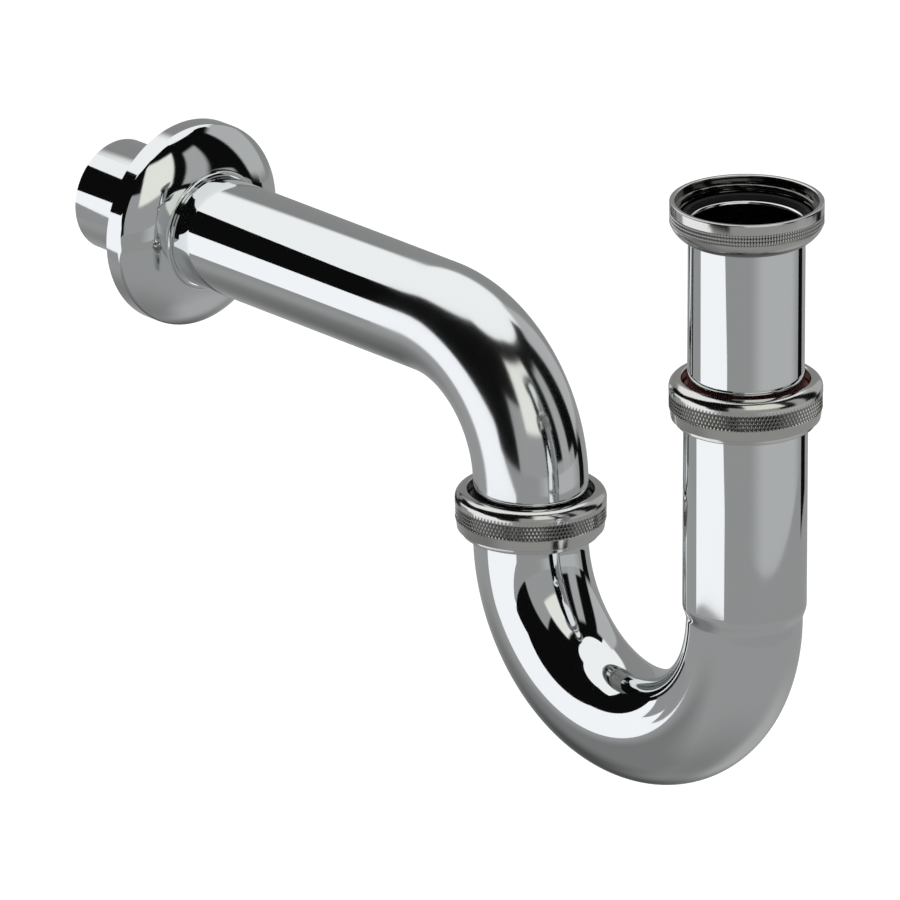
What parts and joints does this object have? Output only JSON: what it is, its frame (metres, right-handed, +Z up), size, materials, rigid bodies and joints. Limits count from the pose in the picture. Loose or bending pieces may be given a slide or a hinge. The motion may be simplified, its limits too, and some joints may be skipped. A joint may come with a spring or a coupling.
{
  "type": "tubular trap",
  "caption": "Chromed P-shaped washbasin trap of bent tube with threaded waste nut, knurled union nuts, outlet pipe and sliding wall rosette.",
  "frame": {"origin": "on the axis of the waste nut, at the foot of its thread, where the end of the basin waste comes to the washer", "axes": "+Z up along the inlet leg, out of the waste nut's mouth; the outlet pipe runs along -X into the wall; the trap is symmetric about XZ"},
  "size_m": [0.3514, 0.0734, 0.2256],
  "materials": {
    "tube_chrome": "mirror chrome on brass",
    "nut_satin": "satin chrome on turned brass",
    "rubber_black": "matt",
    "fibre_red": "matt red-brown fibre",
    "plastic_black": "matt"
  },
  "bodies": {
    "inlet": {"inlet_tube": "tube_chrome", "waste_washer": "rubber_black"},
    "waste_nut": {"waste_nut": "nut_satin"},
    "inlet_seal": {"inlet_seal": "rubber_black"},
    "trap": {"trap_bend": "tube_chrome", "inlet_ferrule": "nut_satin", "outlet_ferrule": "nut_satin"},
    "inlet_slip_ring": {"inlet_slip_ring": "fibre_red"},
    "inlet_union_nut": {"inlet_union_nut": "nut_satin"},
    "outlet_slip_ring": {"outlet_slip_ring": "plastic_black"},
    "outlet_union_nut": {"outlet_union_nut": "nut_satin"},
    "outlet": {"outlet_pipe": "tube_chrome", "outlet_seal": "rubber_black"},
    "rosette": {"rosette": "tube_chrome"}
  },
  "joints": [
    {"name": "waste_nut_turn", "type": "hinge", "parent": "inlet", "child": "waste_nut", "pos_m": [0, 0, 0], "axis": [0, 0, 1], "continuous": true},
    {"name": "height_slide", "type": "slide", "parent": "inlet", "child": "inlet_seal", "axis": [0, 0, 1], "range_m": [-0.02, 0.03]},
    {"name": "trap_swivel", "type": "hinge", "parent": "inlet_seal", "child": "trap", "pos_m": [0, 0, -0.07], "axis": [0, 0, 1], "continuous": true},
    {"name": "inlet_nut_lift", "type": "slide", "parent": "trap", "child": "inlet_slip_ring", "axis": [0, 0, 1], "range_m": [0, 0.00462]},
    {"name": "inlet_nut_turn", "type": "hinge", "parent": "inlet_slip_ring", "child": "inlet_union_nut", "pos_m": [0, 0, -0.067], "axis": [0, 0, 1], "range_deg": [0, 720]},
    {"name": "outlet_nut_lift", "type": "slide", "parent": "trap", "child": "outlet_slip_ring", "axis": [0, 0, 1], "range_m": [0, 0.00462]},
    {"name": "outlet_nut_turn", "type": "hinge", "parent": "outlet_slip_ring", "child": "outlet_union_nut", "pos_m": [-0.1084, 0, -0.137], "axis": [0, 0, 1], "range_deg": [0, 720]},
    {"name": "outlet_swivel", "type": "hinge", "parent": "trap", "child": "outlet", "pos_m": [-0.1084, 0, -0.137], "axis": [0, 0, 1], "range_deg": [-135, 135]},
    {"name": "rosette_slide", "type": "slide", "parent": "outlet", "child": "rosette", "axis": [1, 0, 0], "range_m": [-0.036, 0.115]}
  ],
  "couplings": [
    {"joint": "inlet_nut_turn", "follows": "inlet_nut_lift", "rad_per_m": 2721.2},
    {"joint": "outlet_nut_turn", "follows": "outlet_nut_lift", "rad_per_m": 2721.2}
  ]
}
